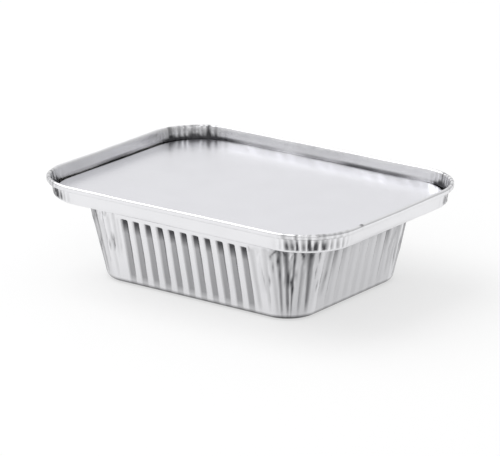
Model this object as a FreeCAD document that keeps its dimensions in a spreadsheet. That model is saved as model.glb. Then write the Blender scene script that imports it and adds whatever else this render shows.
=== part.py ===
import FreeCAD, Part
import math
import os
import re
import Sketcher
from FreeCAD import Placement, Rotation, Vector

# Small oblong food container pressed from one sheet of foil, with a flat foil-faced board lid.
# The sheet runs from the base over the rounded foot, up the fluted wall, over the shoulder to the
# seat of the lid, down the outer ledge, up the lip and round the rolled edge.
# Frame: +X along the length, +Y across, +Z up, origin under the middle of the base. Millimetres.

# Driving sizes: alias, value, what it is
SIZES = [
    ("foil", 0.1, "gauge of the foil sheet"),
    ("tray_height", 40.0, "base to the top of the rolled edge"),
    ("rim_length", 140.0, "over the rolled edge, along X"),
    ("rim_width", 104.0, "over the rolled edge, along Y"),
    ("rim_corner", 23.0, "plan radius of the corners, over the rolled edge"),
    ("base_length", 95.0, "walls at the foot, along X"),
    ("base_width", 72.0, "walls at the foot, along Y"),
    ("base_corner", 12.0, "plan radius of the walls' corners at the foot"),
    ("foot_radius", 3.0, "outside radius between base and wall"),
    ("wall_run", 8.0, "how far the wall leans out from the base to the seat"),
    ("seat_height", 34.4, "base to the underside of the lid"),
    ("shoulder_radius", 0.9, "underside radius between wall and seat"),
    ("seat_width", 1.0, "flat ring that the lid lies on"),
    ("root_height", 32.2, "base to the underside of the lip's root"),
    ("root_radius", 1.2, "outside radius between ledge and lip"),
    ("lip_lean", 0.9, "how far the lip leans out over its height"),
    ("curl_radius", 0.8, "outside radius of the rolled edge"),
    ("curl_side", 0.6, "straight part of the rolled edge's outer face"),
    ("curl_hook", 100.0, "how far the rolled edge turns back under, in degrees"),
    ("panel_margin", 8.0, "foot of the wall to the raised panel in the base"),
    ("panel_corner", 6.0, "plan radius of the panel's corners"),
    ("panel_rise", 1.0, "how far the panel stands up from the base"),
    ("panel_slope", 1.0, "run of the panel's sloping edge"),
    ("flute_pitch", 5.65, "spacing of the flutes"),
    ("flutes_long", 11, "flutes in each long wall"),
    ("flutes_short", 7, "flutes in each short wall"),
    ("flute_top", 28.2, "height of the flutes' upper ends"),
    ("flute_radius", 1.8, "half the width of the tool that presses a flute"),
    ("flute_depth_top", 1.2, "depth of a flute at its upper end"),
    ("flute_depth_foot", 0.5, "depth of a flute at the base"),
    ("pleats", 4, "pleats in each corner of the wall"),
    ("pleat_step", 20.0, "angle between the pleats of a corner, in degrees"),
    ("pleat_top", 29.0, "height of the pleats' upper ends"),
    ("pleat_radius", 1.6, "half the width of the tool that presses a pleat"),
    ("pleat_depth_top", 0.7, "depth of a pleat at its upper end"),
    ("pleat_depth_foot", 0.3, "depth of a pleat at the base"),
    ("crimps", 3, "crimps in each corner of the lip"),
    ("crimp_step", 25.0, "angle between the crimps of a corner, in degrees"),
    ("crimp_radius", 1.2, "half the width of the tool that presses a crimp"),
    ("crimp_depth", 0.5, "depth of a crimp"),
    ("crimp_foot", 35.6, "height of the crimps' lower ends"),
    ("crimp_margin", 0.6, "plain lip above a crimp"),
    ("lid_thickness", 0.5, "laminated board"),
    ("lid_gap_long", 0.4, "lid edge to lip along the long sides"),
    ("lid_gap_short", 1.5, "lid edge to lip along the short sides"),
]
ALIASES = re.compile(r"\b(" + "|".join(alias for alias, _, _ in SIZES) + r")\b")

# Straight-sided strips that make up each rounded stretch of the sheet
FOOT_STRIPS = 2
SHOULDER_STRIPS = 1
ROOT_STRIPS = 2
CURL_STRIPS = 4
HOOK_STRIPS = 2
# The ledge meets the root of the lip at this angle round the root, in degrees
ROOT_START = 110.0
# Sides of the tools that press the flutes, pleats and crimps
FLUTE_SIDES = 6
GATHER_SIDES = 6

doc = FreeCAD.newDocument("foil_food_container")


def add_sizes_sheet():
    """The spreadsheet of driving sizes, one aliased cell for each."""
    sheet = doc.addObject("Spreadsheet::Sheet", "sizes")
    for row, (alias, value, note) in enumerate(SIZES, start=1):
        sheet.set(f"A{row}", alias)
        sheet.set(f"B{row}", str(value))
        sheet.set(f"C{row}", note)
        sheet.setAlias(f"B{row}", alias)
    doc.recompute()


def bind(item, prop, formula):
    """Drive one property by a formula written with the sheet's aliases."""
    item.setExpression(prop, ALIASES.sub(r"sizes.\1", formula))


def origin_item(body, role):
    """A plane or axis of the body's own origin."""
    return next(item for item in body.Origin.OriginFeatures if item.Role == role)


def rounded_outline(body, name, half_length, half_width, corner, height):
    """Sketch of a rounded rectangle about the Z axis, its four sizes driven by formulas."""
    sketch = body.newObject("Sketcher::SketchObject", name)
    sketch.AttachmentSupport = [(origin_item(body, "XY_Plane"), "")]
    sketch.MapMode = "FlatFace"
    bind(sketch, "AttachmentOffset.Base.z", height)
    x, y, r = 60.0, 40.0, 15.0
    corners = [(x, y, 0), (-x, y, 90), (-x, -y, 180), (x, -y, 270)]
    arcs = []
    for cx, cy, start in corners:
        centre = Vector(cx - r * (1 if cx > 0 else -1), cy - r * (1 if cy > 0 else -1), 0)
        circle = Part.Circle(centre, Vector(0, 0, 1), r)
        arc = Part.ArcOfCircle(circle, math.radians(start), math.radians(start + 90))
        arcs.append(sketch.addGeometry(arc, False))
    ends = [((x - r, y), (r - x, y)), ((-x, y - r), (-x, r - y)),
            ((r - x, -y), (x - r, -y)), ((x, r - y), (x, y - r))]
    sides = []
    for start, end in ends:
        side = Part.LineSegment(Vector(*start, 0), Vector(*end, 0))
        sides.append(sketch.addGeometry(side, False))
    for k in range(4):
        sketch.addConstraint(Sketcher.Constraint("Tangent", arcs[k], 2, sides[k], 1))
        sketch.addConstraint(Sketcher.Constraint("Tangent", sides[k], 2, arcs[(k + 1) % 4], 1))
    sketch.addConstraint(Sketcher.Constraint("Horizontal", sides[2]))
    sketch.addConstraint(Sketcher.Constraint("Vertical", sides[3]))
    for k in range(3):
        sketch.addConstraint(Sketcher.Constraint("Equal", arcs[k], arcs[k + 1]))
    sketch.addConstraint(Sketcher.Constraint("Symmetric", sides[0], 1, sides[0], 2, -2))
    sketch.addConstraint(Sketcher.Constraint("Symmetric", sides[1], 1, sides[1], 2, -1))
    driven = [("half_length", Sketcher.Constraint("DistanceX", -1, 1, sides[3], 1, x), half_length),
              ("half_width", Sketcher.Constraint("DistanceY", -1, 1, sides[0], 1, y), half_width),
              ("corner", Sketcher.Constraint("Radius", arcs[0], r), corner)]
    for label, constraint, formula in driven:
        index = sketch.addConstraint(constraint)
        sketch.renameConstraint(index, label)
        bind(sketch, f"Constraints.{label}", formula)
    return sketch


# Where the outside of the wall stands, and how it leans
LEAN = "atan(wall_run / (seat_height - foil))"
TURN = f"(90 deg - {LEAN})"
SEAT = "(seat_height - foil)"
LIP_TOP = "(tray_height - curl_radius)"
LIP_INSET = "(2 * curl_radius - foil)"


def skin_station(half_length, half_width, corner, height, normal, depth):
    """One outline of the sheet, moved inwards by depth along the sheet's normal."""
    level = f"{depth} * cos({normal})"
    return (f"{half_length} - {level}", f"{half_width} - {level}", f"{corner} - {level}",
            f"{height} + {depth} * sin({normal})")


def wall_station(out, height, normal, depth):
    """An outline that keeps its distance from the foot of the wall all round."""
    return skin_station(f"base_length / 2 + ({out})", f"base_width / 2 + ({out})",
                        f"base_corner + ({out})", height, normal, depth)


def lip_station(inset, lean_share, height, normal, depth):
    """An outline that keeps its distance from the rim all round."""
    whole = f"({LIP_INSET} + {inset} + lip_lean * {lean_share})"
    return skin_station(f"rim_length / 2 - {whole}", f"rim_width / 2 - {whole}",
                        f"rim_corner - {whole}", height, normal, depth)


def bowl_stations(depth):
    """The outlines of one side of the sheet from the base to the inner edge of the seat."""
    stations = []
    for step in range(FOOT_STRIPS + 1):
        normal = f"(90 deg - {TURN} * {step} / {FOOT_STRIPS})"
        out = f"foot_radius * (cos({normal}) - tan({TURN} / 2))"
        stations.append(wall_station(out, f"foot_radius * (1 - sin({normal}))", normal, depth))
    for step in range(SHOULDER_STRIPS + 1):
        normal = f"({LEAN} + {TURN} * {step} / {SHOULDER_STRIPS})"
        out = f"wall_run + shoulder_radius * (tan({TURN} / 2) - cos({normal}))"
        height = f"{SEAT} - shoulder_radius * (1 - sin({normal}))"
        stations.append(wall_station(out, height, normal, depth))
    return stations


def brim_stations(depth):
    """The outlines of one side of the sheet from the outer edge of the seat to the lip's top."""
    seat_edge = f"wall_run + shoulder_radius * tan({TURN} / 2) + seat_width"
    stations = [wall_station(seat_edge, SEAT, "(90 deg)", depth)]
    for step in range(ROOT_STRIPS + 1):
        normal = f"({ROOT_START} deg * {ROOT_STRIPS - step} / {ROOT_STRIPS})"
        height = f"root_height + root_radius * (1 - sin({normal}))"
        stations.append(lip_station(f"root_radius * (1 - cos({normal}))", 1, height, normal, depth))
    stations.append(lip_station("0", 0, LIP_TOP, "(0 deg)", depth))
    return stations


def ruled_stack(body, name, kind, stations):
    """Straight-sided loft through a list of outlines."""
    outlines = [rounded_outline(body, f"{name}_outline_{k}", *station)
                for k, station in enumerate(stations)]
    doc.recompute()
    stack = body.newObject(kind, name)
    stack.Profile = outlines[0]
    stack.Sections = outlines[1:]
    stack.Ruled = True
    stack.Refine = False
    doc.recompute()
    return stack


def pressing_tool(body, name, support, turn_axis, sides, radius, depth):
    """Many-sided bar that presses one groove; it grows by depth for the sheet's inner side."""
    tool = body.newObject("PartDesign::SubtractivePrism", name)
    tool.AttachmentSupport = [(support, "")]
    tool.MapMode = "ObjectXY"
    tool.AttachmentOffset = Placement(Vector(0, 0, 0), Rotation(turn_axis, 10))
    tool.Polygon = sides
    tool.Refine = False
    bind(tool, "Circumradius", f"{radius} + {depth} / cos({180 / sides} deg)")
    return tool


def pressed_groove(body, name, support, place, turn_axis, sides, depth):
    """Groove up the wall, named flute or pleat, deeper at its upper end than at the base.

    place gives the groove's foot in the support's plane, with OUT for its distance out from the
    line where the wall meets the base.
    """
    kind = name.split("_")[0]
    foot_stand = f"({kind}_radius - {kind}_depth_foot)"
    across = f"({kind}_depth_foot - {kind}_depth_top)"
    along = f"({kind}_top / cos({LEAN}))"
    tool = pressing_tool(body, name, support, turn_axis, sides, f"{kind}_radius", depth)
    out = f"{foot_stand} * cos({LEAN})"
    bind(tool, "AttachmentOffset.Base.x", place[0].replace("OUT", out))
    bind(tool, "AttachmentOffset.Base.y", place[1].replace("OUT", out))
    bind(tool, "AttachmentOffset.Base.z", f"-{foot_stand} * sin({LEAN})")
    bind(tool, "AttachmentOffset.Rotation.Angle", f"{LEAN} + atan({across} / {along})")
    bind(tool, "Height", f"sqrt({along} ^ 2 + {across} ^ 2) + {depth}")
    doc.recompute()
    return tool


def repeat(body, name, first, row, mirrors):
    """Repeat one groove in a row or a fan, then across the planes of symmetry."""
    multi = body.newObject("PartDesign::MultiTransform", name)
    multi.Originals = [first]
    steps = [row]
    for role in mirrors:
        mirror = body.newObject("PartDesign::Mirrored", f"{name}_{role[:2].lower()}")
        mirror.MirrorPlane = (origin_item(body, role), [""])
        steps.append(mirror)
    multi.Transformations = steps
    multi.Refine = False
    body.Tip = multi
    doc.recompute()
    return multi


def row_of(body, name, role, count):
    """Even row along one axis of the body, at the pitch of the flutes."""
    row = body.newObject("PartDesign::LinearPattern", name)
    row.Direction = (origin_item(body, role), [""])
    bind(row, "Length", f"flute_pitch * ({count} - 1)")
    bind(row, "Occurrences", count)
    return row


def fan_of(body, name, hub, step, count):
    """Even fan about the axis of one corner."""
    fan = body.newObject("PartDesign::PolarPattern", name)
    fan.Axis = (hub, ["N_Axis"])
    bind(fan, "Angle", f"{step} * ({count} - 1)")
    bind(fan, "Occurrences", count)
    return fan


def corner_hub(body, name, centre_x, centre_y, step, count):
    """Bare sketch at a corner's axis, turned to the first groove of the corner's fan."""
    hub = body.newObject("Sketcher::SketchObject", name)
    hub.AttachmentSupport = [(origin_item(body, "XY_Plane"), "")]
    hub.MapMode = "FlatFace"
    hub.AttachmentOffset = Placement(Vector(0, 0, 0), Rotation(Vector(0, 0, 1), 10))
    bind(hub, "AttachmentOffset.Base.x", centre_x)
    bind(hub, "AttachmentOffset.Base.y", centre_y)
    bind(hub, "AttachmentOffset.Rotation.Angle", f"45 - {step} * ({count} - 1) / 2")
    doc.recompute()
    return hub


def add_flutes(body, depth):
    """Flutes along the four straight walls."""
    ground = origin_item(body, "XY_Plane")
    row = row_of(body, "flutes_along", "X_Axis", "flutes_long")
    first = pressed_groove(body, "flute_long", ground,
                           ("-flute_pitch * (flutes_long - 1) / 2", "base_width / 2 + OUT"),
                           Vector(-1, 0, 0), FLUTE_SIDES, depth)
    repeat(body, "long_flutes", first, row, ["XZ_Plane"])
    row = row_of(body, "flutes_across", "Y_Axis", "flutes_short")
    first = pressed_groove(body, "flute_short", ground,
                           ("base_length / 2 + OUT", "-flute_pitch * (flutes_short - 1) / 2"),
                           Vector(0, 1, 0), FLUTE_SIDES, depth)
    repeat(body, "short_flutes", first, row, ["YZ_Plane"])


def add_pleats(body, depth):
    """Pleats where the sheet gathers in the corners of the wall."""
    hub = corner_hub(body, "pleat_hub", "base_length / 2 - base_corner",
                     "base_width / 2 - base_corner", "pleat_step", "pleats")
    fan = fan_of(body, "pleat_fan", hub, "pleat_step", "pleats")
    first = pressed_groove(body, "pleat", hub, ("base_corner + OUT", "0"),
                           Vector(0, 1, 0), GATHER_SIDES, depth)
    repeat(body, "corner_pleats", first, fan, ["XZ_Plane", "YZ_Plane"])


def add_crimps(body, depth):
    """Crimps where the lip gathers in the corners, clear of the lid and the rolled edge."""
    hub = corner_hub(body, "crimp_hub", "rim_length / 2 - rim_corner",
                     "rim_width / 2 - rim_corner", "crimp_step", "crimps")
    fan = fan_of(body, "crimp_fan", hub, "crimp_step", "crimps")
    lean = f"atan(lip_lean / ({LIP_TOP} - root_height - root_radius))"
    below_top = f"({LIP_TOP} - crimp_foot + {depth})"
    crimp = pressing_tool(body, "crimp", hub, Vector(0, 1, 0), GATHER_SIDES, "crimp_radius", depth)
    bind(crimp, "AttachmentOffset.Base.x", f"rim_corner - {LIP_INSET} - {below_top} * tan({lean})"
                                           " + crimp_radius - crimp_depth")
    bind(crimp, "AttachmentOffset.Base.z", f"crimp_foot - {depth}")
    bind(crimp, "AttachmentOffset.Rotation.Angle", lean)
    bind(crimp, "Height", f"({LIP_TOP} - crimp_margin - crimp_foot + 2 * {depth}) / cos({lean})")
    doc.recompute()
    repeat(body, "lip_crimps", crimp, fan, ["XZ_Plane", "YZ_Plane"])


def add_panel(body, depth):
    """Shallow panel that stiffens the base, pressed up into the container."""
    spread = f"{depth} * tan(atan(panel_rise / panel_slope) / 2)"
    stations = []
    for share in (0, 1):
        inset = f"(panel_margin + panel_slope * {share}) + {spread}"
        stations.append((f"base_length / 2 - {inset}", f"base_width / 2 - {inset}",
                         f"panel_corner - panel_slope * {share} + {spread}",
                         f"{depth} + panel_rise * {share}"))
    ruled_stack(body, "base_panel", "PartDesign::SubtractiveLoft", stations)


def pressed_form(name, depth, headroom):
    """Solid bounded by one side of the sheet: the outside, or the space inside."""
    body = doc.addObject("PartDesign::Body", name)
    brim = brim_stations(depth)
    if headroom:
        outline = brim[-1]
        brim.append((*outline[:3], f"{outline[3]} + {headroom}"))
    ruled_stack(body, "bowl", "PartDesign::AdditiveLoft", bowl_stations(depth))
    ruled_stack(body, "brim", "PartDesign::AdditiveLoft", brim)
    add_panel(body, depth)
    add_flutes(body, depth)
    add_pleats(body, depth)
    add_crimps(body, depth)
    return body


def curl_corners():
    """Corners of the rolled edge's section: the outer side from the lip round, then back inside.

    Each is the angle round its bend, the bend's radius and the drop of the bend's centre.
    """
    upper = [(180 - 180 * step / CURL_STRIPS, "0") for step in range(CURL_STRIPS + 1)]
    lower = [(f"curl_hook * {-step} / {HOOK_STRIPS}", "curl_side")
             for step in range(HOOK_STRIPS + 1)]
    outer = [(angle, "curl_radius", drop) for angle, drop in upper + lower]
    inner = [(angle, "(curl_radius - foil)", drop) for angle, drop in reversed(upper + lower)]
    return outer + inner


def curl_profile(body):
    """Section of the rolled edge: over the top, down the outer face and back under."""
    sketch = body.newObject("Sketcher::SketchObject", "curl_profile")
    sketch.AttachmentSupport = [(origin_item(body, "XZ_Plane"), "")]
    sketch.MapMode = "FlatFace"
    corners = curl_corners()
    sides = []
    for k in range(len(corners)):
        first, second = math.tau * k / len(corners), math.tau * (k + 1) / len(corners)
        side = Part.LineSegment(Vector(70 + math.cos(first), 40 + math.sin(first), 0),
                                Vector(70 + math.cos(second), 40 + math.sin(second), 0))
        sides.append(sketch.addGeometry(side, False))
    for k, (angle, radius, drop) in enumerate(corners):
        sketch.addConstraint(Sketcher.Constraint("Coincident", sides[k - 1], 2, sides[k], 1))
        across = sketch.addConstraint(Sketcher.Constraint("DistanceX", -1, 1, sides[k], 1, 70.0))
        up = sketch.addConstraint(Sketcher.Constraint("DistanceY", -1, 1, sides[k], 1, 40.0))
        sketch.renameConstraint(across, f"across_{k}")
        sketch.renameConstraint(up, f"up_{k}")
        bind(sketch, f"Constraints.across_{k}",
             f"rim_length / 2 - curl_radius + {radius} * cos({angle} * 1 deg)")
        bind(sketch, f"Constraints.up_{k}",
             f"{LIP_TOP} - {drop} + {radius} * sin({angle} * 1 deg)")
    return sketch


def rolled_edge():
    """The edge of the sheet, rolled outwards round the top of the lip."""
    body = doc.addObject("PartDesign::Body", "rolled_edge")
    path = rounded_outline(body, "lip_line", f"rim_length / 2 - {LIP_INSET}",
                           f"rim_width / 2 - {LIP_INSET}", f"rim_corner - {LIP_INSET}", LIP_TOP)
    profile = curl_profile(body)
    doc.recompute()
    pipe = body.newObject("PartDesign::AdditivePipe", "curl")
    pipe.Profile = profile
    pipe.Spine = (path, [])
    doc.recompute()
    return body


def foil_tray():
    """The whole tray: outside form less the space inside, with its rolled edge."""
    outside = pressed_form("outside_form", "0", None)
    inside = pressed_form("inside_form", "foil", "4 * curl_radius")
    cup = doc.addObject("Part::Cut", "pressed_cup")
    cup.Base = outside
    cup.Tool = inside
    tray = doc.addObject("Part::Fuse", "tray")
    tray.Base = cup
    tray.Tool = rolled_edge()
    tray.Label = "foil_tray"
    return tray


def foil_lid():
    """Flat lid cut to the opening inside the lip."""
    body = doc.addObject("PartDesign::Body", "lid")
    outline = rounded_outline(body, "lid_outline",
                              "rim_length / 2 - 2 * curl_radius - lip_lean - lid_gap_short",
                              "rim_width / 2 - 2 * curl_radius - lip_lean - lid_gap_long",
                              "rim_corner - 2 * curl_radius - lip_lean", "seat_height")
    board = body.newObject("PartDesign::Pad", "board")
    board.Profile = outline
    bind(board, "Length", "lid_thickness")
    body.Label = "foil_lid"
    return body


def write_parts(parts):
    """Check the whole document, then write one file for each part."""
    doc.recompute()
    for item in doc.Objects:
        if "Invalid" in item.State or "Error" in item.State:
            raise RuntimeError(f"{item.Name} failed: {item.State}")
    for part in parts:
        if part.Shape.isNull() or not part.Shape.isValid():
            raise RuntimeError(f"{part.Label} has no valid shape")
    os.makedirs("parts", exist_ok=True)
    for part in parts:
        part.Shape.exportStep(f"parts/{part.Label}.step")
        print(part.Label, len(part.Shape.Solids), "solid", len(part.Shape.Faces), "faces",
              round(part.Shape.Volume, 1), "mm3")


add_sizes_sheet()
write_parts([foil_tray(), foil_lid()])
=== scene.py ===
import math

import bpy
import numpy as np
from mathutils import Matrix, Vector

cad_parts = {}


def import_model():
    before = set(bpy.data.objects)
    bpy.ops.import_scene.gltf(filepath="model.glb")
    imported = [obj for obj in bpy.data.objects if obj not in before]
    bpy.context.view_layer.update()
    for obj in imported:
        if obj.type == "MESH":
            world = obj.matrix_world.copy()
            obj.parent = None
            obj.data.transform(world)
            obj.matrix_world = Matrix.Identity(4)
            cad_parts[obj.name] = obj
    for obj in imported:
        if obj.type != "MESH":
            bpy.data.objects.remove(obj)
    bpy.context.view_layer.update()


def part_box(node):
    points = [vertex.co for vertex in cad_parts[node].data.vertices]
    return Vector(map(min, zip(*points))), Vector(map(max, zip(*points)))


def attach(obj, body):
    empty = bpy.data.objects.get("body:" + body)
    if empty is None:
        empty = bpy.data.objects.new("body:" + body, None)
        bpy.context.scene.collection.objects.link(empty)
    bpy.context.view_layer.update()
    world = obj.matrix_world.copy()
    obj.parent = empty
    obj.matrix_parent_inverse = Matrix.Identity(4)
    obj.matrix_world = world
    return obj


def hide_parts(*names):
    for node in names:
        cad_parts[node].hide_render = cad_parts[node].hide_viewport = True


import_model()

MM = 0.001

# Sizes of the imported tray, in millimetres; RIM and FOOT are half length, half width, corner radius
GAUGE = 0.1
RIM = (70.0, 52.0, 23.0)
FOOT = (47.5, 36.0, 12.0)
TRAY_TOP = 40.0
SEAT_UNDER = 34.3
WALL_RUN = 8.0
FOOT_RADIUS = 3.0
SHOULDER_RADIUS = 0.9
SEAT_WIDTH = 1.0
ROOT_UNDER = 32.2
ROOT_RADIUS = 1.2
LIP_LEAN = 0.9
CURL_RADIUS = 0.8
CURL_SIDE = 0.6
PANEL_MARGIN = 8.0
PANEL_CORNER = 6.0
PANEL_RISE = 1.0
PANEL_SLOPE = 1.0

# Where the ledge meets the lip's root and where the rolled edge ends, in degrees
ROOT_START = 110.0
CURL_HOOK = 100.0

# Rows of the sheet's grid: the panel's as shares of its slope and rise, then steps round each bend
PANEL_ROWS = ((1.3, 1.0), (1.0, 0.93), (0.5, 0.5), (0.0, 0.07), (-0.3, 0.0))
FOOT_STEPS = 5
SHOULDER_STEPS = 3
ROOT_STEPS = 4
CURL_STEPS = 6
HOOK_STEPS = 3

# Rows at heights of the wall, in millimetres, and at shares of the ledge and of the lip
WALL_ROWS = (4.5, 7, 10, 13, 16, 19, 22, 24.5, 26.4, 27.4, 27.9, 28.3, 28.8, 29.6, 31.2)
LEDGE_ROWS = (0.25, 0.5, 0.75)
LIP_ROWS = (0.17, 0.34, 0.5, 0.67, 0.84)

# Columns of the sheet's grid along each straight side and each corner
LONG_COLUMNS = 168
SHORT_COLUMNS = 102
CORNER_COLUMNS = 70

# Flutes, in millimetres; a pair is where a change begins and where it is complete, LEAST is the share
# of the full depth or painted shade before it, and RIM is a share of the half width
FLUTE_PITCH = 5.65
FLUTES_LONG = 11
FLUTES_SHORT = 7
FLUTE_TOP = 28.4
FLUTE_FADE = 0.8
FLUTE_START = (0.6, 4.0)
FLUTE_DEPTH = 1.1
FLUTE_LEAST = 0.5
FLUTE_DEEPENS = (2, 26)
FLUTE_HALF = 1.75
FLUTE_RIM = (0.6, 1.0)
# Painted shade fills each flute's hollow and darkens further towards a pocket near its top
POCKET_BELOW_TOP = (5.4, 3.0)
POCKET_LEAST = 0.6

# The short walls' flutes, as shares of the long walls': shallower, and with painted shade that is
# darkest at their outer and upper ends; DARKENS is in millimetres of height
SHORT_OUTER = (0.3, 1.0)
SHORT_DEPTH = 0.35
SHORT_SHADE = 0.08
SHORT_OUTER_SHADE = 0.45
SHORT_DARKENS = (12, 26)

# Walls: the sides they are on, the axis they run along and their number of flutes
SHORT_SIDES = (0, 2)
LONG_SIDES = (1, 3)
WALLS = ((LONG_SIDES, 0, FLUTES_LONG), (SHORT_SIDES, 1, FLUTES_SHORT))

# Pleats of the wall's corners, in millimetres; a pair is the range that each one is drawn from, and
# LEAST, TAPER, TILT and SHADE are ratios; SHADE is painted shade along each pleat
PLEAT_SEED = 7
PLEAT_REACH = 22.0
PLEAT_STEP = (1.5, 3.6)
PLEAT_WIDTH = (0.6, 1.9)
PLEAT_TAPER = 0.45
PLEAT_TAPER_HEIGHT = 30
PLEAT_TILT = (-0.05, 0.05)
PLEAT_TILT_HEIGHT = 15
PLEAT_TOP = (27.5, 31.5)
PLEAT_TOP_FADE = 0.8
PLEAT_FOOT = (0.5, 14.0)
PLEAT_FOOT_FADE = 6
PLEAT_DEPTH = (0.35, 0.8)
PLEAT_DEPTH_LEAST = 0.35
PLEAT_SHADE = (0.15, 0.8)
PLEAT_SHADE_LEAST = 0.3
PLEAT_CLEARANCE = 0.8
PLEAT_CLEAR_FADE = 1.2

# Short creases at all angles among the pleats, drawn and measured as they are; SHADE is painted shade
# along each, and where it is below 0 it lightens the painted shade around it
CREASES = 54
CREASE_SPREAD = 8.5
CREASE_HEIGHT = (12, 31)
CREASE_LEAN = (-1.0, 1.0)
CREASE_LENGTH = (1.5, 4.0)
CREASE_WIDTH = (0.5, 0.9)
CREASE_DEPTH = (-0.3, 0.4)
CREASE_SHADE = (-0.3, 0.7)

# How far round a corner its pleats and crimps stay strong, in millimetres
GATHER_REACH = 12.0

# Crimps of the lip's corners, drawn and measured as the pleats are; LEFT_ABOVE is the share of a
# crimp that is left above its top, and SHADE is painted shade along each crimp
CRIMP_SEED = 19
CRIMP_REACH = 20.0
CRIMP_STEP = (1.3, 2.7)
CRIMP_WIDTH = (0.6, 1.2)
CRIMP_TILT = (-0.12, 0.12)
CRIMP_TILT_HEIGHT = 36
CRIMP_TOP = (36.8, 39.2)
CRIMP_LEFT_ABOVE = (0.25, 0.75)
CRIMP_DEPTH = (0.2, 0.45)
CRIMP_SHADE = (0.4, 1.5)

# Distances below and above its top over which a crimp fades, and heights between which crimps set in
# and lose the extra depth and painted shade of their foot; on the rolled edge only a share of their
# depth is left
CRIMP_TOP_FADE = (1, 0.4)
CRIMP_STARTS = (32.3, 33.8)
CRIMP_FOOT_ENDS = (34.5, 37)
CRIMP_FOOT_GAIN = 0.8
CRIMP_ON_CURL = 0.3

# Waviness of the sheet, of the lip and of the lid, in millimetres; the seat stays flat for the lid
SHEET_WAVE = 0.05
SHEET_WAVE_STARTS = (2.0, 6.0)
SEAT_FLAT_FROM = (31.5, 33.0)
LIP_SWAY = 0.2
LID_WAVE = 0.03
LID_WAVE_ROOM = 0.05

# How fast the lip's sway changes upward, as a share of how fast it changes along the lip
LIP_SWAY_UPWARD = 0.2

# Range of the waves' lengths, as shares of a field's scale
WAVE_PITCH = (0.6, 1.6)

# A small nick in the rolled edge near the front of the right-hand end, a shallow dent with painted
# shade in it
RIM_NICK = (69.2, -25.0, 40.0)
NICK_RADIUS = 0.8
NICK_DEPTH = 0.25

# Painted shade on the sheet's outer face, 0 for bright foil and 1 for its darkest: a painted contact
# shadow along the foot, and greyer short walls and corner bends that darken upward
FOOT_TONE_ENDS = (0.7, 2.2)
SHORT_WALL_TONE = 0.15
SHORT_WALL_UPPER_TONE = 0.15
SHORT_WALL_UPPER = (20, 28)
BEND_TONE = 0.22
BEND_UPPER_TONE = 0.1
BEND_UPPER = (18, 28)
BEND_SHARE = (0.1, 0.6)

# Painted shade on its inner face, darkest in the corner between lip and lid: a painted shadow along
# the lid's edge, uneven along it, and more in the lip's corners; the wall keeps less of the outer shade
WALL_INSIDE_LOSS = 0.65
GATHER_TONE = 0.8
GATHER_SHARE = (0.15, 0.5)
GATHER_ENDS = (35.4, 36.8)
LID_LINE_TONE = 0.55
LID_LINE_UNEVEN = 0.45
LID_LINE_LEAST = 0.15
LID_LINE_ENDS = (35.2, 35.9)

# The lid's grid: inset from its edge and drop below its face, in millimetres
LID_ROWS = ((30.0, 0), (20.0, 0), (12.0, 0), (7.0, 0), (4.0, 0), (2.0, 0), (1.0, 0), (0.4, 0),
            (0.12, 0.01), (0.03, 0.04), (0.0, 0.12))
LID_LEAST_CORNER = 2.0

# Colours of the foils and of the darkest painted shade in the tray's folds
TRAY_COLOR = (0.86, 0.86, 0.88)
PAINTED_SHADE_COLOR = (0.07, 0.07, 0.075)
LID_COLOR = (0.84, 0.84, 0.88)

# The lid's board, and the height where its foil begins and the blend between them, in metres
BOARD_COLOR = (0.80, 0.78, 0.74)
BOARD_ROUGHNESS = 0.75
BOARD_TOP = 0.03465
BOARD_BLEND = 0.00003

# Foil: rolling lines along X and their roughness, as shares of the foil's, patches that are a little
# darker, and the depth of its bumps in metres
ROLLING_LINES = (12.0, 900.0, 900.0)
ROLLING_ROUGHNESS = (0.8, 1.25)
PATCH_DARKENING = 0.93
CRINKLE_DEPTH = 0.0004
LINE_DEPTH = 0.00005

# Sockets of Blender's mix node, which has a set of them for each kind of value
MIX_FACTOR = 0
MIX_VALUES = (2, 3)
MIX_COLORS = (6, 7)
MIX_COLOR_OUT = 2

# Floor: half width and drop below the tray, in metres, its colour, and the share of plain white that
# cameras and reflections see in it
FLOOR_HALF = 6.0
FLOOR_DROP = 0.0001
FLOOR_COLOR = (0.9, 0.9, 0.9, 1)
FLOOR_WHITE = 0.6

# The photograph's camera, in metres in the tray's frame, with a longer lens
CAMERA_AT = (0.7607, -1.0209, 0.420)
LOOK_AT = (0.0, 0.0, 0.0195)
LENS = 250.0


def columns():
    """Plan of the grid's columns, anticlockwise from the front of the right-hand side.

    A column stands at (cx * (half_length - r) + nx * r, cy * (half_width - r) + ny * r) on an
    outline with corner radius r. Returns cx, cy, nx, ny and the side each column is on.
    """
    rows = []
    for turn in range(4):
        start = math.pi / 2 * turn
        normal = (round(math.cos(start)), round(math.sin(start)))
        count = SHORT_COLUMNS if turn in SHORT_SIDES else LONG_COLUMNS
        for k in range(count):
            along = 2 * k / count - 1
            centre = (normal[0] - normal[1] * along, normal[1] + normal[0] * along)
            rows.append((*centre, *normal, turn))
        corner = (normal[0] - normal[1], normal[1] + normal[0])
        for k in range(CORNER_COLUMNS):
            angle = start + math.pi / 2 * k / CORNER_COLUMNS
            rows.append((*corner, math.cos(angle), math.sin(angle), 4 + turn))
    return np.array(rows).T


CX, CY, NX, NY, SIDE = columns()
NXY = np.stack([NX, NY], axis=-1)


def arc(first, last, steps):
    """Angles from first to last in degrees, both ends included, as radians."""
    return [math.radians(first + (last - first) * k / steps) for k in range(steps + 1)]


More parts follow.
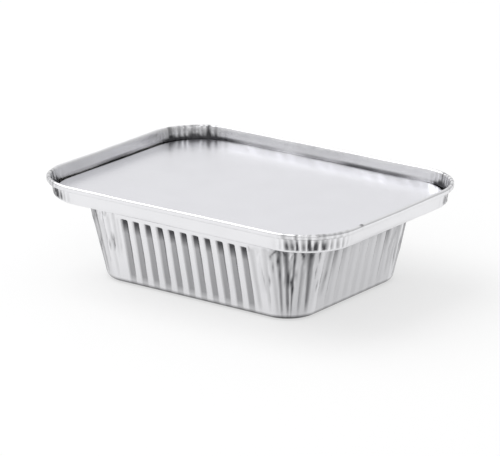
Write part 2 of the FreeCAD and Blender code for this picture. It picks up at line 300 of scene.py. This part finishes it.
def sheet_stations():
    """Rows of the underside of the sheet from the base panel to the end of the rolled edge.

    Each row is half length, half width, corner radius and height. Returns the rows and the row at
    which each stretch of the sheet begins.
    """
    lean = math.atan2(WALL_RUN, SEAT_UNDER)
    turn = math.pi / 2 - lean
    rows = []
    begins = {}

    def wall(out, height):
        rows.append((FOOT[0] + out, FOOT[1] + out, FOOT[2] + out, height))

    def brim(inset, height):
        rows.append((RIM[0] - inset, RIM[1] - inset, RIM[2] - inset, height))

    for share, rise in PANEL_ROWS:
        inset = PANEL_MARGIN + PANEL_SLOPE * share
        rows.append((FOOT[0] - inset, FOOT[1] - inset, PANEL_CORNER - PANEL_SLOPE * share,
                     PANEL_RISE * rise))
    begins["foot"] = len(rows)
    foot_reach = FOOT_RADIUS * math.tan(turn / 2)
    for angle in arc(90, math.degrees(lean), FOOT_STEPS):
        wall(FOOT_RADIUS * math.cos(angle) - foot_reach, FOOT_RADIUS * (1 - math.sin(angle)))
    begins["wall"] = len(rows)
    for height in WALL_ROWS:
        wall(height * math.tan(lean), height)
    shoulder_reach = SHOULDER_RADIUS * math.tan(turn / 2)
    for angle in arc(math.degrees(lean), 90, SHOULDER_STEPS):
        wall(WALL_RUN + shoulder_reach - SHOULDER_RADIUS * math.cos(angle),
             SEAT_UNDER - SHOULDER_RADIUS * (1 - math.sin(angle)))
    begins["seat"] = len(rows) - 1
    wall(WALL_RUN + shoulder_reach + SEAT_WIDTH, SEAT_UNDER)
    lip_inset = 2 * CURL_RADIUS - GAUGE
    root = [(lip_inset + LIP_LEAN + ROOT_RADIUS * (1 - math.cos(angle)),
             ROOT_UNDER + ROOT_RADIUS * (1 - math.sin(angle)))
            for angle in arc(ROOT_START, 0, ROOT_STEPS)]
    root_inset, root_height = root[0]
    seat_edge = np.array(rows[-1])
    root_edge = np.array((*(size - root_inset for size in RIM), root_height))
    for share in LEDGE_ROWS:
        rows.append(tuple(seat_edge + (root_edge - seat_edge) * share))
    for inset, height in root:
        brim(inset, height)
    begins["lip"] = len(rows) - 1
    lip_foot = root[-1][1]
    lip_top = TRAY_TOP - CURL_RADIUS
    for share in LIP_ROWS:
        brim(lip_inset + LIP_LEAN * (1 - share), lip_foot + (lip_top - lip_foot) * share)
    begins["curl"] = len(rows) + 1
    inner = CURL_RADIUS - GAUGE
    for angle in arc(180, 0, CURL_STEPS):
        brim(CURL_RADIUS - inner * math.cos(angle), lip_top + inner * math.sin(angle))
    for angle in arc(0, -CURL_HOOK, HOOK_STEPS):
        brim(CURL_RADIUS - inner * math.cos(angle), lip_top - CURL_SIDE + inner * math.sin(angle))
    return np.array(rows), begins


def smooth_step(low, high, value):
    """0 below low, 1 above high, smooth between."""
    share = np.clip((value - low) / (high - low), 0, 1)
    return share * share * (3 - 2 * share)


def rising(least, share):
    """From least at share 0 to 1 at share 1."""
    return least + (1 - least) * share


def plan(rows):
    """Grid of points for rows of half length, half width, corner radius and height."""
    half_length, half_width, corner, height = (rows[:, k:k + 1] for k in range(4))
    x = CX * (half_length - corner) + NX * corner
    y = CY * (half_width - corner) + NY * corner
    return np.stack([x, y, np.broadcast_to(height, x.shape)], axis=-1)


def normals(grid):
    """Unit normals of a grid that closes on itself along its columns, pointing off the underside."""
    across = np.roll(grid, -1, axis=1) - np.roll(grid, 1, axis=1)
    up = np.gradient(grid, axis=0)
    normal = np.cross(across, up)
    return normal / np.linalg.norm(normal, axis=-1, keepdims=True)


def wave_noise(grid, scale, count, seed):
    """Smooth random field over the points, about -1 to 1, with features of about that scale."""
    draw = np.random.default_rng(seed)
    total = np.zeros(grid.shape[:2])
    for _ in range(count):
        direction = draw.normal(size=3)
        direction /= np.linalg.norm(direction)
        pitch = scale * draw.uniform(*WAVE_PITCH)
        total += np.sin(grid @ direction * 2 * np.pi / pitch + draw.uniform(0, 2 * np.pi))
    return total / math.sqrt(count)


def flutes(grid):
    """Depth and painted shade of the even flutes pressed into the straight walls."""
    z = grid[..., 2]
    depth, shade = np.zeros_like(z), np.zeros_like(z)
    pocket = smooth_step(FLUTE_TOP - POCKET_BELOW_TOP[0], FLUTE_TOP - POCKET_BELOW_TOP[1], z)
    zone = smooth_step(*FLUTE_START, z) * (1 - smooth_step(FLUTE_TOP - FLUTE_FADE, FLUTE_TOP, z))
    level = FLUTE_DEPTH * rising(FLUTE_LEAST, smooth_step(*FLUTE_DEEPENS, z)) * zone
    for sides, axis, count in WALLS:
        along = grid[..., axis]
        offset = (along + FLUTE_PITCH / 2) % FLUTE_PITCH - FLUTE_PITCH / 2
        reach = FLUTE_PITCH * count / 2
        here = np.isin(SIDE, sides) * (np.abs(along) < reach)
        across = np.clip(np.abs(offset) / FLUTE_HALF, 0, 1)
        hollow = here * np.sqrt(1 - across ** 2)
        dark = here * (1 - smooth_step(*FLUTE_RIM, across)) * zone
        if sides == LONG_SIDES:
            depth += hollow * level
            shade += dark * rising(POCKET_LEAST, pocket)
        else:
            outer = smooth_step(*SHORT_OUTER, np.abs(along) / reach)
            depth += hollow * level * (SHORT_DEPTH + SHORT_DEPTH * outer)
            shade += dark * (SHORT_SHADE + SHORT_OUTER_SHADE * outer * smooth_step(*SHORT_DARKENS, z))
    return depth, shade


def corner_along(outline, radius):
    """Distance of each column round an outline, in millimetres, from the middle of each corner."""
    half_length, half_width, corner = outline
    along = []
    for k in range(4):
        middle = math.pi / 4 + math.pi / 2 * k
        angle = (np.arctan2(NY, NX) - middle + np.pi) % (2 * np.pi) - np.pi
        sx, sy = math.copysign(1, math.cos(middle)), math.copysign(1, math.sin(middle))
        bend = np.clip(np.abs(angle), 0, math.pi / 4) * np.sign(angle) * radius
        beyond = (1 - CX * sx) * (half_length - corner) + (1 - CY * sy) * (half_width - corner)
        along.append(bend + np.sign(angle) * beyond)
    return along


def add_pleats(draw, along, z, depth, shade):
    """Press uneven pleats up one corner of the wall; beside the corner they start higher."""
    edge = -PLEAT_REACH
    while edge < PLEAT_REACH:
        edge += draw.uniform(*PLEAT_STEP)
        near = math.exp(-(edge / GATHER_REACH) ** 2)
        width = draw.uniform(*PLEAT_WIDTH)
        tilt = draw.uniform(*PLEAT_TILT)
        top = draw.uniform(*PLEAT_TOP)
        foot = draw.uniform(*PLEAT_FOOT) * (1 - near)
        reach = width * (1 - PLEAT_TAPER + PLEAT_TAPER * z / PLEAT_TAPER_HEIGHT)
        away = np.abs(along - edge - tilt * (z - PLEAT_TILT_HEIGHT)) / reach
        crease = np.clip(1 - away, 0, 1)
        span = smooth_step(foot, foot + PLEAT_FOOT_FADE, z)
        span = span * (1 - smooth_step(top - PLEAT_TOP_FADE, top + PLEAT_TOP_FADE, z))
        depth += draw.uniform(*PLEAT_DEPTH) * rising(PLEAT_DEPTH_LEAST, near) * crease * span
        # Painted shade along each pleat
        shade += draw.uniform(*PLEAT_SHADE) * rising(PLEAT_SHADE_LEAST, near) * np.sqrt(crease) * span


def add_creases(draw, along, z, depth, shade):
    """Press short creases at all angles into one corner of the wall."""
    for _ in range(CREASES):
        centre, height = draw.normal(0, CREASE_SPREAD), draw.uniform(*CREASE_HEIGHT)
        lean, length = draw.uniform(*CREASE_LEAN), draw.uniform(*CREASE_LENGTH)
        run = np.abs(along - centre - lean * (z - height))
        ends = 1 - smooth_step(length / 2, length, np.abs(z - height))
        crease = np.clip(1 - run / draw.uniform(*CREASE_WIDTH), 0, 1) * ends
        depth += draw.uniform(*CREASE_DEPTH) * crease
        # Painted shade along each crease
        shade += draw.uniform(*CREASE_SHADE) * crease


def pleats(grid):
    """Depth and painted shade of the uneven pleats and creases in and beside the wall's corners."""
    z = grid[..., 2]
    draw = np.random.default_rng(PLEAT_SEED)
    depth, shade = np.zeros_like(z), np.zeros_like(z)
    for along in corner_along(FOOT, FOOT[2] + WALL_RUN / 2):
        add_pleats(draw, along, z, depth, shade)
        add_creases(draw, along, z, depth, shade)
    clear = np.ones_like(z)
    for sides, axis, count in WALLS:
        reach = FLUTE_PITCH * count / 2 - PLEAT_CLEARANCE
        fluted = 1 - smooth_step(reach, reach + PLEAT_CLEAR_FADE, np.abs(grid[..., axis]))
        clear -= np.isin(SIDE, sides) * fluted
    return depth * clear, shade * clear


def corner_share():
    """How far each column is into the bend of its corner: 0 on the straights, 1 in the middle."""
    turn = np.degrees(np.arctan2(NY, NX)) % 90
    return np.clip(np.minimum(turn, 90 - turn) / 45, 0, 1)


def crimps(grid):
    """Depth and painted shade of the uneven crimps that gather the lip in its corners."""
    z = grid[..., 2]
    draw = np.random.default_rng(CRIMP_SEED)
    depth, shade = np.zeros_like(z), np.zeros_like(z)
    foot_gain = 1 + CRIMP_FOOT_GAIN * (1 - smooth_step(*CRIMP_FOOT_ENDS, z))
    for along in corner_along(RIM, RIM[2] - 2 * CURL_RADIUS):
        edge = -CRIMP_REACH
        while edge < CRIMP_REACH:
            edge += draw.uniform(*CRIMP_STEP)
            near = math.exp(-(edge / GATHER_REACH) ** 4)
            width = draw.uniform(*CRIMP_WIDTH)
            tilt = draw.uniform(*CRIMP_TILT)
            away = np.abs(along - edge - tilt * (z - CRIMP_TILT_HEIGHT)) / width
            crease = np.clip(1 - away, 0, 1)
            top = draw.uniform(*CRIMP_TOP)
            above = smooth_step(top - CRIMP_TOP_FADE[0], top + CRIMP_TOP_FADE[1], z)
            span = 1 - (1 - draw.uniform(*CRIMP_LEFT_ABOVE)) * above
            span *= foot_gain
            depth += near * crease * draw.uniform(*CRIMP_DEPTH) * span
            shade += near * np.sqrt(crease) * draw.uniform(*CRIMP_SHADE) * span
    up = smooth_step(*CRIMP_STARTS, z)
    return depth * up, shade * up


def folds(grid, begins):
    """Push of the smooth sheet along its normals and its painted shade; wall and lip as masks."""
    z = grid[..., 2]
    row = np.arange(len(grid))[:, None]
    on_wall = (row >= begins["foot"]) * (row < begins["seat"]) * 1.0
    on_lip = (row >= begins["lip"]) * 1.0
    crimped = on_lip * np.where(row < begins["curl"], 1.0, CRIMP_ON_CURL)
    flute_depth, flute_shade = flutes(grid)
    pleat_depth, pleat_shade = pleats(grid)
    crimp_depth, crimp_shade = crimps(grid)
    push = -(flute_depth + pleat_depth) * on_wall - crimp_depth * crimped
    seated = smooth_step(*SEAT_FLAT_FROM, z) * (1 - on_lip)
    waves = SHEET_WAVE * wave_noise(grid, scale=9.0, count=24, seed=3)
    push += waves * smooth_step(*SHEET_WAVE_STARTS, z) * (1 - seated)
    # Painted contact shadow along the foot, painted shade on the short walls and in the corner bends
    foot = (row < begins["wall"]) * (1 - smooth_step(*FOOT_TONE_ENDS, z))
    short_wall = SHORT_WALL_TONE + SHORT_WALL_UPPER_TONE * smooth_step(*SHORT_WALL_UPPER, z)
    short_wall = np.isin(SIDE, SHORT_SIDES) * short_wall
    bend = smooth_step(*BEND_SHARE, corner_share())
    bend = bend * (BEND_TONE + BEND_UPPER_TONE * smooth_step(*BEND_UPPER, z))
    shade = (flute_shade + pleat_shade + foot + short_wall + bend) * on_wall
    shade += crimp_shade * on_lip
    # Painted shade in the nick
    nick = np.exp(-(np.linalg.norm(grid - RIM_NICK, axis=-1) / NICK_RADIUS) ** 2)
    push -= NICK_DEPTH * nick
    shade += nick
    return push, shade, on_wall, on_lip


def tray_mesh():
    """Both faces of the sheet as one closed grid mesh, with its painted shade as an attribute."""
    rows, begins = sheet_stations()
    smooth = plan(rows)
    z = smooth[..., 2]
    push, shade, on_wall, on_lip = folds(smooth, begins)
    grid = smooth + normals(smooth) * push[..., None]
    sway = LIP_SWAY * wave_noise(grid * (1, 1, LIP_SWAY_UPWARD), scale=60.0, count=12, seed=5) * on_lip
    grid[..., :2] += sway[..., None] * NXY
    piece = closed_mesh("foil_tray_pressed", grid, grid - normals(grid) * GAUGE)
    # Painted shadow on the inner face where the lid meets the lip, uneven, and more in the lip's corners
    patches = wave_noise(grid * (1, 1, 0), scale=28.0, count=8, seed=23)
    lid_line = np.clip(LID_LINE_TONE + LID_LINE_UNEVEN * patches, LID_LINE_LEAST, 1)
    gather = GATHER_TONE * smooth_step(*GATHER_SHARE, corner_share()) * (1 - smooth_step(*GATHER_ENDS, z))
    gather += lid_line * (1 - smooth_step(*LID_LINE_ENDS, z))
    inside = shade * (1 - WALL_INSIDE_LOSS * on_wall) + gather * on_lip
    levels = np.clip(np.concatenate([shade.ravel(), inside.ravel()]), 0, 1)
    layer = piece.data.attributes.new("shade", "FLOAT", "POINT")
    layer.data.foreach_set("value", levels.astype(np.float32))
    return piece


def closed_mesh(name, under, upper):
    """Mesh of two grids that share their outline: two flat middles and a strip along the free end.

    Both grids' quads start from the same column, so that both split along the same diagonal and the
    thin sheet between them doesn't cross itself.
    """
    rows, count = under.shape[:2]
    points = np.concatenate([under.reshape(-1, 3), upper.reshape(-1, 3)]) * MM
    col = np.arange(count)
    nxt = (col + 1) % count
    shift = rows * count
    faces = []
    for r in range(rows - 1):
        low, high = r * count, (r + 1) * count
        faces.append(np.stack([low + col, low + nxt, high + nxt, high + col], axis=1))
        faces.append(np.stack([low + col, high + col, high + nxt, low + nxt], axis=1) + shift)
    end = (rows - 1) * count
    faces.append(np.stack([end + col, end + nxt, shift + end + nxt, shift + end + col], axis=1))
    quads = np.concatenate(faces).tolist()
    caps = [list(range(count))[::-1], [shift + k for k in range(count)]]
    mesh = bpy.data.meshes.new(name)
    mesh.from_pydata(points.tolist(), [], quads + caps)
    mesh.validate()
    mesh.polygons.foreach_set("use_smooth", [True] * len(mesh.polygons))
    mesh.update()
    piece = bpy.data.objects.new(name, mesh)
    bpy.context.scene.collection.objects.link(piece)
    return piece


def lid_mesh():
    """Flat board lid with a softly rounded edge and the faint waviness of real board."""
    low, high = (np.array(corner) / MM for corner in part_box("foil_lid"))
    half_length, half_width, face = high
    corner = RIM[2] - 2 * CURL_RADIUS - LIP_LEAN
    top, bottom = [], []
    for inset, drop in LID_ROWS:
        outline = (half_length - inset, half_width - inset, max(corner - inset, LID_LEAST_CORNER))
        top.append((*outline, face - drop))
        bottom.append((*outline, low[2]))
    upper, under = plan(np.array(top)), plan(np.array(bottom))
    sway = LID_WAVE * wave_noise(upper * (1, 1, 0), scale=45.0, count=10, seed=11)
    upper[..., 2] += sway - LID_WAVE_ROOM
    return closed_mesh("foil_lid_board", under, upper)


class Nodes:
    """Short way to add nodes to a material or world and join them."""

    def __init__(self, owner):
        owner.use_nodes = True
        self.tree = owner.node_tree
        self.tree.nodes.clear()

    def add(self, kind, **values):
        node = self.tree.nodes.new(kind)
        for key, value in values.items():
            if hasattr(node, key):
                setattr(node, key, value)
            else:
                node.inputs[key.replace("_", " ")].default_value = value
        return node

    def join(self, source, output, target, socket):
        self.tree.links.new(source.outputs[output], target.inputs[socket])


def paint_fold_shade(nodes, tint, shade_paint_color):
    """Darken a tint towards the colour of painted shade by the sheet's shade attribute."""
    shade = nodes.add("ShaderNodeAttribute", attribute_name="shade")
    mix = nodes.add("ShaderNodeMix", data_type="RGBA")
    mix.inputs[MIX_COLORS[1]].default_value = (*shade_paint_color, 1)
    nodes.join(shade, "Fac", mix, MIX_FACTOR)
    nodes.join(tint, MIX_COLOR_OUT, mix, MIX_COLORS[0])
    return mix


def board_core(nodes, metal, place, tint, tone, board_below):
    """Turn the part of a foil material that is below a height into plain matt board."""
    split = nodes.add("ShaderNodeSeparateXYZ")
    nodes.join(place, "Object", split, "Vector")
    face = nodes.add("ShaderNodeMapRange", From_Min=board_below, From_Max=board_below + BOARD_BLEND)
    nodes.join(split, "Z", face, "Value")
    nodes.join(face, "Result", metal, "Metallic")
    laminate = nodes.add("ShaderNodeMix", data_type="RGBA")
    laminate.inputs[MIX_COLORS[0]].default_value = (*BOARD_COLOR, 1)
    nodes.join(face, "Result", laminate, MIX_FACTOR)
    nodes.join(tint, MIX_COLOR_OUT, laminate, MIX_COLORS[1])
    matt = nodes.add("ShaderNodeMix")
    matt.inputs[MIX_VALUES[0]].default_value = BOARD_ROUGHNESS
    nodes.join(face, "Result", matt, MIX_FACTOR)
    nodes.join(tone, "Result", matt, MIX_VALUES[1])
    nodes.join(matt, 0, metal, "Roughness")
    return laminate


def foil_material(name, color, roughness, crinkle, shade_paint_color=None, board_below=None):
    """Rolled foil: bright aluminium, fine rolling lines, small crinkles and painted shade in its folds.

    Below the height board_below, in metres, the piece is the plain board that carries the foil.
    """
    material = bpy.data.materials.new(name)
    nodes = Nodes(material)
    place = nodes.add("ShaderNodeTexCoord")
    output = nodes.add("ShaderNodeOutputMaterial")
    metal = nodes.add("ShaderNodeBsdfPrincipled", Metallic=1.0)
    nodes.join(metal, "BSDF", output, "Surface")
    lines_map = nodes.add("ShaderNodeMapping", Scale=ROLLING_LINES)
    nodes.join(place, "Object", lines_map, "Vector")
    lines = nodes.add("ShaderNodeTexNoise", Scale=1.0, Detail=3.0)
    nodes.join(lines_map, "Vector", lines, "Vector")
    low, high = (roughness * share for share in ROLLING_ROUGHNESS)
    tone = nodes.add("ShaderNodeMapRange", To_Min=low, To_Max=high)
    nodes.join(lines, "Fac", tone, "Value")
    nodes.join(tone, "Result", metal, "Roughness")
    patches = nodes.add("ShaderNodeTexNoise", Scale=60.0, Detail=4.0)
    nodes.join(place, "Object", patches, "Vector")
    tint = nodes.add("ShaderNodeMix", data_type="RGBA")
    tint.inputs[MIX_COLORS[0]].default_value = (*[c * PATCH_DARKENING for c in color], 1)
    tint.inputs[MIX_COLORS[1]].default_value = (*color, 1)
    nodes.join(patches, "Fac", tint, MIX_FACTOR)
    if shade_paint_color:
        tint = paint_fold_shade(nodes, tint, shade_paint_color)
    if board_below:
        tint = board_core(nodes, metal, place, tint, tone, board_below)
    nodes.join(tint, MIX_COLOR_OUT, metal, "Base Color")
    small = nodes.add("ShaderNodeTexNoise", Scale=420.0, Detail=5.0, Roughness=0.6)
    nodes.join(place, "Object", small, "Vector")
    bump = nodes.add("ShaderNodeBump", Strength=crinkle, Distance=CRINKLE_DEPTH)
    nodes.join(small, "Fac", bump, "Height")
    fine = nodes.add("ShaderNodeBump", Strength=0.3, Distance=LINE_DEPTH)
    nodes.join(lines, "Fac", fine, "Height")
    nodes.join(bump, "Normal", fine, "Normal")
    nodes.join(fine, "Normal", metal, "Normal")
    return material


def floor():
    """Plain pale floor, whiter to cameras and in reflections than it is as a source of light."""
    half = FLOOR_HALF
    mesh = bpy.data.meshes.new("floor")
    mesh.from_pydata([(-half, -half, 0), (half, -half, 0), (half, half, 0), (-half, half, 0)], [],
                     [(0, 1, 2, 3)])
    plane = bpy.data.objects.new("floor", mesh)
    bpy.context.scene.collection.objects.link(plane)
    plane.location.z = -FLOOR_DROP
    material = bpy.data.materials.new("floor_paint")
    nodes = Nodes(material)
    output = nodes.add("ShaderNodeOutputMaterial")
    paint = nodes.add("ShaderNodeBsdfDiffuse", Color=FLOOR_COLOR)
    glow = nodes.add("ShaderNodeEmission", Color=(1, 1, 1, 1), Strength=1.0)
    path = nodes.add("ShaderNodeLightPath")
    seen = nodes.add("ShaderNodeMath", operation="MAXIMUM")
    nodes.join(path, "Is Camera Ray", seen, 0)
    nodes.join(path, "Is Glossy Ray", seen, 1)
    any_seen = nodes.add("ShaderNodeMath", operation="MAXIMUM")
    nodes.join(seen, "Value", any_seen, 0)
    nodes.join(path, "Is Transmission Ray", any_seen, 1)
    share = nodes.add("ShaderNodeMath", operation="MULTIPLY")
    share.inputs[1].default_value = FLOOR_WHITE
    nodes.join(any_seen, "Value", share, 0)
    mix = nodes.add("ShaderNodeMixShader")
    nodes.join(share, "Value", mix, "Fac")
    nodes.join(paint, "BSDF", mix, 1)
    nodes.join(glow, "Emission", mix, 2)
    nodes.join(mix, "Shader", output, "Surface")
    plane.data.materials.append(material)


def world():
    """Soft studio surround: white overhead and to the left, greyer to the right and lower down."""
    surround = bpy.data.worlds.new("studio")
    bpy.context.scene.world = surround
    nodes = Nodes(surround)
    output = nodes.add("ShaderNodeOutputWorld")
    back = nodes.add("ShaderNodeBackground", Strength=1.0)
    place = nodes.add("ShaderNodeTexCoord")
    split = nodes.add("ShaderNodeSeparateXYZ")
    nodes.join(place, "Generated", split, "Vector")
    side = nodes.add("ShaderNodeMapRange", From_Min=-0.7, From_Max=0.8, To_Min=1.0, To_Max=0.6)
    nodes.join(split, "X", side, "Value")
    height = nodes.add("ShaderNodeMapRange", From_Min=0.0, From_Max=0.5, To_Min=0.8, To_Max=1.0)
    nodes.join(split, "Z", height, "Value")
    level = nodes.add("ShaderNodeMath", operation="MULTIPLY")
    nodes.join(side, "Result", level, 0)
    nodes.join(height, "Result", level, 1)
    nodes.join(level, "Value", back, "Color")
    nodes.join(back, "Background", output, "Surface")


def aim(thing, at):
    """Place a lamp or camera and turn it towards the container."""
    thing.location = at
    thing.rotation_euler = (Vector(LOOK_AT) - Vector(at)).to_track_quat("-Z", "Y").to_euler()
    bpy.context.scene.collection.objects.link(thing)


def lamp(name, at, size, power):
    """Square soft lamp that faces the container; size in metres, power in watts."""
    data = bpy.data.lights.new(name, "AREA")
    data.shape = "SQUARE"
    data.size = size
    data.energy = power
    aim(bpy.data.objects.new(name, data), at)


def camera():
    """The photograph's viewing angle."""
    data = bpy.data.cameras.new("view")
    data.lens = LENS
    data.sensor_width = 36.0
    data.clip_end = 30.0
    view = bpy.data.objects.new("view", data)
    aim(view, CAMERA_AT)
    bpy.context.scene.camera = view


camera()
tray = tray_mesh()
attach(tray, "root")
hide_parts("foil_tray")
tray.data.materials.append(foil_material("pressed_foil", TRAY_COLOR, roughness=0.2, crinkle=0.25,
                                         shade_paint_color=PAINTED_SHADE_COLOR))

lid = lid_mesh()
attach(lid, "root")
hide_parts("foil_lid")
lid.data.materials.append(foil_material("lid_foil", LID_COLOR, roughness=0.22, crinkle=0.04,
                                        board_below=BOARD_TOP))

floor()
world()
lamp("key", at=(-1.2, -0.2, 1.8), size=2.0, power=22.0)
lamp("fill", at=(1.3, -1.5, 1.3), size=1.6, power=4.0)
bpy.context.scene.view_settings.view_transform = "Standard"
